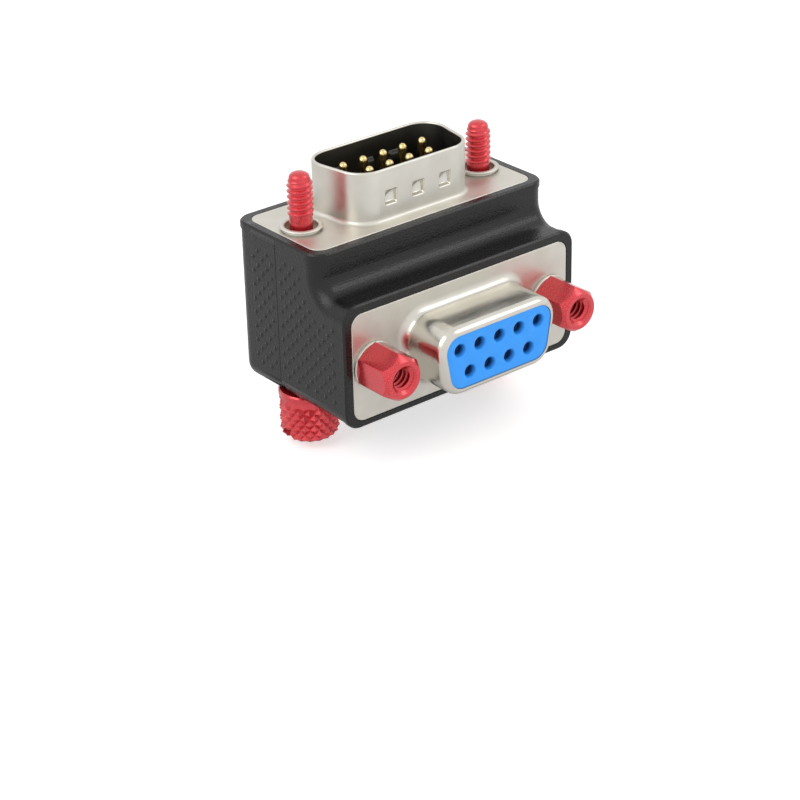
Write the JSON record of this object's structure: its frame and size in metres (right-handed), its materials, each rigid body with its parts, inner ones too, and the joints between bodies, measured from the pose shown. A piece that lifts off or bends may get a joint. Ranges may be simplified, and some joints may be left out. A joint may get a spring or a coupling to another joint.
{
  "type": "right-angle gender changer",
  "caption": "Right-angle adapter: a D-shaped plug on top and a D-shaped socket in front, in an L-shaped moulded housing with captive thumbscrews and hexagonal jack nuts.",
  "frame": {"origin": "centre of the plug flange's outer face, midway between the two thumbscrews", "axes": "+Z the way the plug points, -Y the way the socket points, +X to the right seen from the socket side"},
  "size_m": [0.0324, 0.0251, 0.0316],
  "materials": {
    "housing": "matt black moulded plastic",
    "nickel": "bright nickel plate on steel",
    "black_insulator": "black moulded plastic",
    "blue_insulator": "blue moulded plastic",
    "gold_contact": "gold plate on brass",
    "board": "green glass-fibre board",
    "red_metal": "red anodised aluminium"
  },
  "bodies": {
    "adapter": {"front_housing": "housing", "rear_housing": "housing", "plug_shroud": "nickel", "plug_rear_plate": "nickel", "plug_insulator": "black_insulator", "socket_shroud": "nickel", "socket_rear_plate": "nickel", "socket_insulator": "blue_insulator", "circuit_board": "board", "plug_pin_1": "gold_contact", "plug_pin_2": "gold_contact", "plug_pin_3": "gold_contact", "plug_pin_4": "gold_contact", "plug_pin_5": "gold_contact", "plug_pin_6": "gold_contact", "plug_pin_7": "gold_contact", "plug_pin_8": "gold_contact", "plug_pin_9": "gold_contact", "socket_contact_1": "gold_contact", "socket_contact_2": "gold_contact", "socket_contact_3": "gold_contact", "socket_contact_4": "gold_contact", "socket_contact_5": "gold_contact", "socket_contact_6": "gold_contact", "socket_contact_7": "gold_contact", "socket_contact_8": "gold_contact", "socket_contact_9": "gold_contact", "left_eyelet": "nickel", "left_jack_nut": "red_metal", "left_washer": "nickel", "left_clinch_nut": "nickel", "right_eyelet": "nickel", "right_jack_nut": "red_metal", "right_washer": "nickel", "right_clinch_nut": "nickel"},
    "left_thumbscrew": {"left_thumbscrew": "red_metal"},
    "right_thumbscrew": {"right_thumbscrew": "red_metal"}
  },
  "joints": [
    {"name": "left_thumbscrew_spin", "type": "hinge", "parent": "adapter", "child": "left_thumbscrew", "pos_m": [-0.01249, 0, 0], "axis": [0, 0, 1], "continuous": true},
    {"name": "right_thumbscrew_spin", "type": "hinge", "parent": "adapter", "child": "right_thumbscrew", "pos_m": [0.01249, 0, 0], "axis": [0, 0, 1], "continuous": true}
  ]
}
